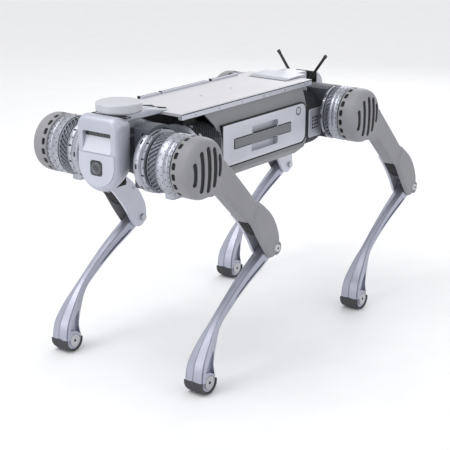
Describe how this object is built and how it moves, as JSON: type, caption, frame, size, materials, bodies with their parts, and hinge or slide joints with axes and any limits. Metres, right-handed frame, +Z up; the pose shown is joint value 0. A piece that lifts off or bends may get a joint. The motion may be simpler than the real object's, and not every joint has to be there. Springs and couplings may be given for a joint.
{
  "type": "quadruped robot",
  "caption": "Legged walking robot with jointed hips, knees and rubber feet, a sensor head, a flat payload deck and slide-out battery packs.",
  "frame": {"origin": "on the floor, under the centre of the overall box", "axes": "+X forward, +Y to the robot's left, +Z up"},
  "size_m": [0.6444, 0.2868, 0.4039],
  "materials": {
    "dark_metal": "satin charcoal coat on a light alloy",
    "circuit_board": "coated board",
    "shell_plastic": "fine moulded grain",
    "screw_steel": "turned steel",
    "deck_paint": "light satin paint on a light alloy",
    "silver_metal": "silver satin paint on a light alloy",
    "silver_panel": "silver satin paint on a moulding",
    "grip_plastic": "moulded grain",
    "head_paint": "silver metallic paint on a moulding",
    "visor_gloss": "glossy light cover",
    "dark_window": "dark tinted window",
    "lens_glass": "coated lens",
    "disc_paint": "satin paint",
    "black_plastic": "moulded",
    "motor_metal": "machined",
    "roll_case": "black anodised",
    "thigh_plastic": "fine moulded grain",
    "shank_metal": "satin bead-blasted",
    "foot_rubber": "matt rubber"
  },
  "bodies": {
    "torso": {"chassis_frame": "dark_metal", "main_board": "circuit_board", "body_shell": "shell_plastic", "belly_screws": "screw_steel", "top_plate": "deck_paint", "side_rail_left": "silver_metal", "side_rail_right": "silver_metal", "head_shell": "head_paint", "face_plate": "head_paint", "visor_panel": "visor_gloss", "sensor_bar": "dark_window", "camera_bezel": "dark_window", "camera_lens": "lens_glass", "top_disc": "disc_paint", "neck_cover": "silver_metal", "tail_cover": "silver_metal", "antenna_mount": "black_plastic", "roll_motor_fl": "roll_case", "roll_motor_fr": "roll_case", "roll_motor_rl": "roll_case", "roll_motor_rr": "roll_case"},
    "battery_left_unit": {"battery_left": "silver_panel", "battery_handle_left": "grip_plastic"},
    "battery_right_unit": {"battery_right": "silver_panel", "battery_handle_right": "grip_plastic"},
    "button": {"power_button": "silver_panel"},
    "whip_left": {"antenna_left": "black_plastic"},
    "whip_right": {"antenna_right": "black_plastic"},
    "hip_fl": {"hip_bracket_fl": "dark_metal", "drive_unit_fl": "motor_metal"},
    "upper_leg_fl": {"thigh_fl": "thigh_plastic", "knee_plate_fl": "silver_metal", "knee_pin_fl": "screw_steel"},
    "lower_leg_fl": {"shank_fl": "shank_metal", "foot_pad_fl": "foot_rubber", "foot_bolt_fl": "screw_steel"},
    "hip_fr": {"hip_bracket_fr": "dark_metal", "drive_unit_fr": "motor_metal"},
    "upper_leg_fr": {"thigh_fr": "thigh_plastic", "knee_plate_fr": "silver_metal", "knee_pin_fr": "screw_steel"},
    "lower_leg_fr": {"shank_fr": "shank_metal", "foot_pad_fr": "foot_rubber", "foot_bolt_fr": "screw_steel"},
    "hip_rl": {"hip_bracket_rl": "dark_metal", "drive_unit_rl": "motor_metal"},
    "upper_leg_rl": {"thigh_rl": "thigh_plastic", "knee_plate_rl": "silver_metal", "knee_pin_rl": "screw_steel"},
    "lower_leg_rl": {"shank_rl": "shank_metal", "foot_pad_rl": "foot_rubber", "foot_bolt_rl": "screw_steel"},
    "hip_rr": {"hip_bracket_rr": "dark_metal", "drive_unit_rr": "motor_metal"},
    "upper_leg_rr": {"thigh_rr": "thigh_plastic", "knee_plate_rr": "silver_metal", "knee_pin_rr": "screw_steel"},
    "lower_leg_rr": {"shank_rr": "shank_metal", "foot_pad_rr": "foot_rubber", "foot_bolt_rr": "screw_steel"}
  },
  "joints": [
    {"name": "roll_fl", "type": "hinge", "parent": "torso", "child": "hip_fl", "pos_m": [0.26184, 0.034, 0.311], "axis": [1, 0, 0], "range_deg": [-12, 20]},
    {"name": "swing_fl", "type": "hinge", "parent": "hip_fl", "child": "upper_leg_fl", "pos_m": [0.26184, 0.125, 0.32068], "axis": [0, -1, 0], "range_deg": [-45, 90]},
    {"name": "knee_fl", "type": "hinge", "parent": "upper_leg_fl", "child": "lower_leg_fl", "pos_m": [0.09816, 0.126, 0.1707], "axis": [0, -1, 0], "range_deg": [-55, 45]},
    {"name": "roll_fr", "type": "hinge", "parent": "torso", "child": "hip_fr", "pos_m": [0.26184, -0.034, 0.311], "axis": [-1, 0, 0], "range_deg": [-12, 20]},
    {"name": "swing_fr", "type": "hinge", "parent": "hip_fr", "child": "upper_leg_fr", "pos_m": [0.26184, -0.125, 0.32068], "axis": [0, -1, 0], "range_deg": [-45, 90]},
    {"name": "knee_fr", "type": "hinge", "parent": "upper_leg_fr", "child": "lower_leg_fr", "pos_m": [0.09816, -0.126, 0.1707], "axis": [0, -1, 0], "range_deg": [-55, 45]},
    {"name": "roll_rl", "type": "hinge", "parent": "torso", "child": "hip_rl", "pos_m": [-0.14816, 0.034, 0.311], "axis": [1, 0, 0], "range_deg": [-12, 20]},
    {"name": "swing_rl", "type": "hinge", "parent": "hip_rl", "child": "upper_leg_rl", "pos_m": [-0.14816, 0.125, 0.32068], "axis": [0, -1, 0], "range_deg": [-90, 45]},
    {"name": "knee_rl", "type": "hinge", "parent": "upper_leg_rl", "child": "lower_leg_rl", "pos_m": [-0.31184, 0.126, 0.1707], "axis": [0, -1, 0], "range_deg": [-55, 45]},
    {"name": "roll_rr", "type": "hinge", "parent": "torso", "child": "hip_rr", "pos_m": [-0.14816, -0.034, 0.311], "axis": [-1, 0, 0], "range_deg": [-12, 20]},
    {"name": "swing_rr", "type": "hinge", "parent": "hip_rr", "child": "upper_leg_rr", "pos_m": [-0.14816, -0.125, 0.32068], "axis": [0, -1, 0], "range_deg": [-90, 45]},
    {"name": "knee_rr", "type": "hinge", "parent": "upper_leg_rr", "child": "lower_leg_rr", "pos_m": [-0.31184, -0.126, 0.1707], "axis": [0, -1, 0], "range_deg": [-55, 45]},
    {"name": "battery_slide_left", "type": "slide", "parent": "torso", "child": "battery_left_unit", "axis": [0, 1, 0], "range_m": [0, 0.035]},
    {"name": "antenna_fold_left", "type": "hinge", "parent": "torso", "child": "whip_left", "pos_m": [-0.17316, 0.013, 0.357], "axis": [-1, 0, 0], "range_deg": [-36, 9]},
    {"name": "battery_slide_right", "type": "slide", "parent": "torso", "child": "battery_right_unit", "axis": [0, -1, 0], "range_m": [0, 0.035]},
    {"name": "antenna_fold_right", "type": "hinge", "parent": "torso", "child": "whip_right", "pos_m": [-0.17316, -0.013, 0.357], "axis": [1, 0, 0], "range_deg": [-36, 9]},
    {"name": "button_press", "type": "slide", "parent": "battery_left_unit", "child": "button", "axis": [0, -1, 0], "range_m": [0, 0.0008], "stiffness_N_per_m": 1500}
  ]
}
